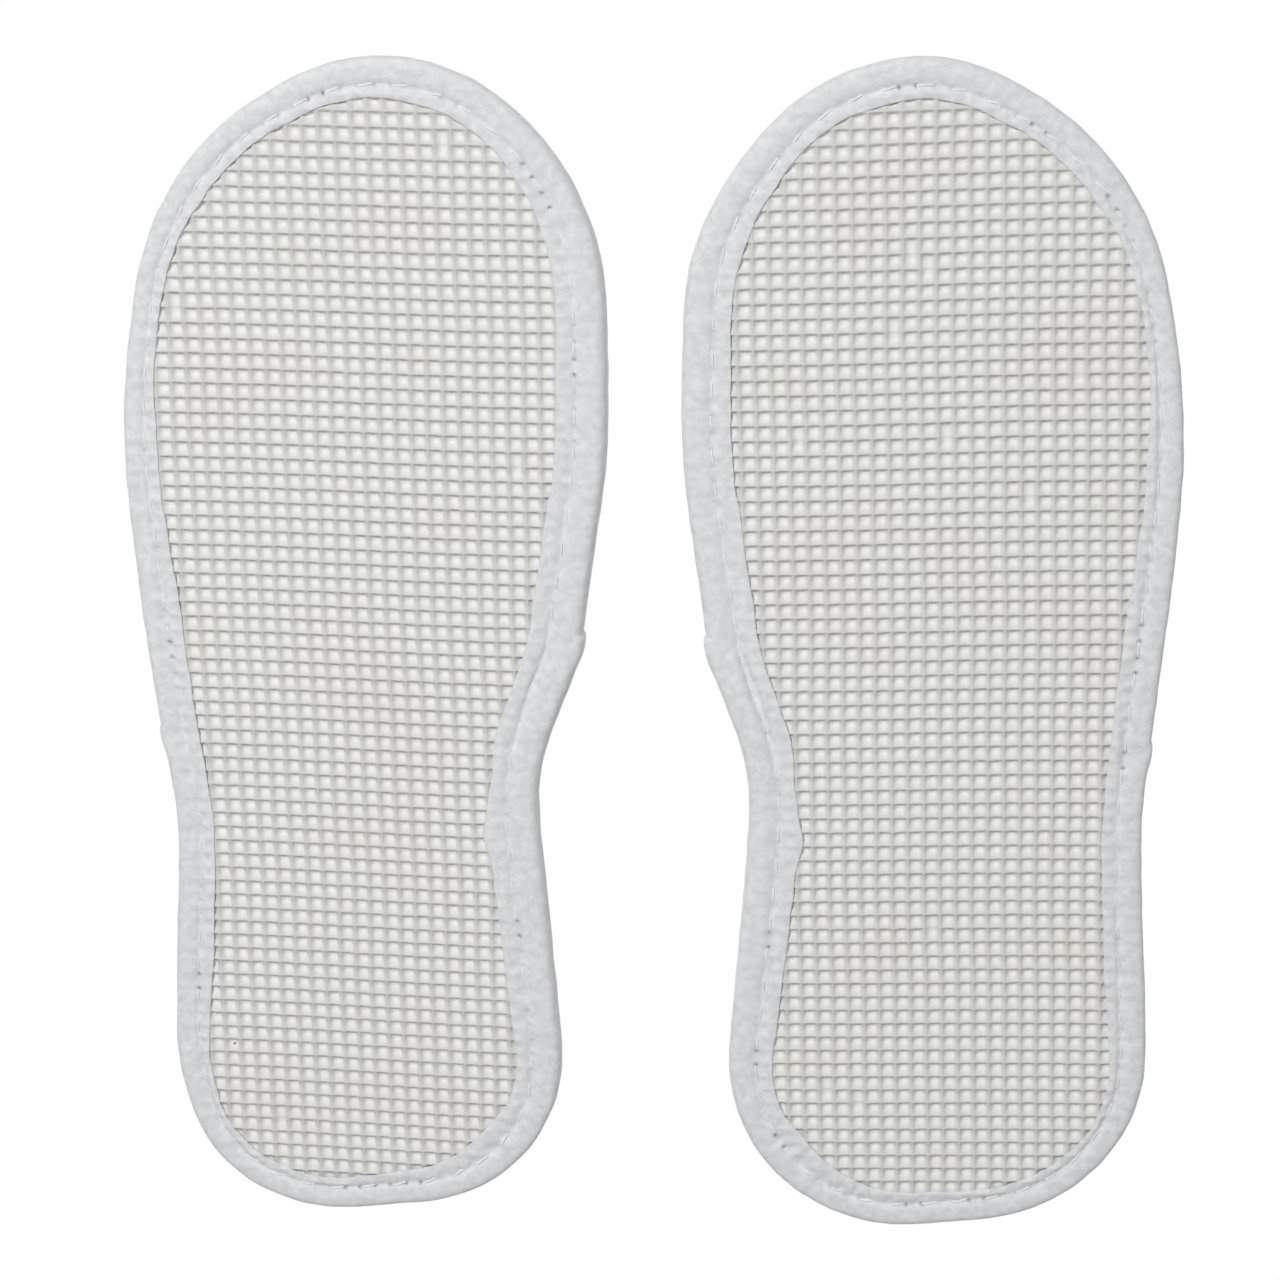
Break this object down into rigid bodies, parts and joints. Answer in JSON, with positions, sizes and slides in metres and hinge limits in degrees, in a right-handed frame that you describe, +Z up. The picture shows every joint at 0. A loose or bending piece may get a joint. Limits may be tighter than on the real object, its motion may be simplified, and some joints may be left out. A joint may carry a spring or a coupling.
{
  "type": "spa slippers",
  "caption": "Pair of flat closed-toe, open-heel slippers: waffle-tread foam soles, padded cloth vamps, and stitched binding tape round each edge.",
  "frame": {"origin": "on the ground midway between the two slippers, at the middle of the pair's length and width", "axes": "+Z up from the ground through the foot, +Y from the heels towards the toes, +X towards the wearer's right"},
  "size_m": [0.2496, 0.2902, 0.0535],
  "materials": {
    "outsole_foam": "matte",
    "sponge": "matte",
    "footbed_cloth": "brushed",
    "vamp_cloth": "brushed",
    "lining_cloth": "matte",
    "binding_tape": "matte",
    "thread": "satin"
  },
  "bodies": {
    "left_slipper": {"left_outsole": "outsole_foam", "left_footbed_foam": "sponge", "left_footbed_cover": "footbed_cloth", "left_vamp_outer": "vamp_cloth", "left_vamp_padding": "sponge", "left_vamp_lining": "lining_cloth", "left_throat_binding": "binding_tape", "left_throat_needle_thread": "thread", "left_throat_bobbin_thread": "thread", "left_sole_binding": "binding_tape", "left_sole_needle_thread": "thread", "left_sole_bobbin_thread": "thread"},
    "right_slipper": {"right_outsole": "outsole_foam", "right_footbed_foam": "sponge", "right_footbed_cover": "footbed_cloth", "right_vamp_outer": "vamp_cloth", "right_vamp_padding": "sponge", "right_vamp_lining": "lining_cloth", "right_throat_binding": "binding_tape", "right_throat_needle_thread": "thread", "right_throat_bobbin_thread": "thread", "right_sole_binding": "binding_tape", "right_sole_needle_thread": "thread", "right_sole_bobbin_thread": "thread"}
  },
  "joints": [
    {"name": "right_lift", "type": "slide", "parent": "left_slipper", "child": "right_slipper", "axis": [0, 0, 1], "range_m": [0, 0.12]}
  ]
}
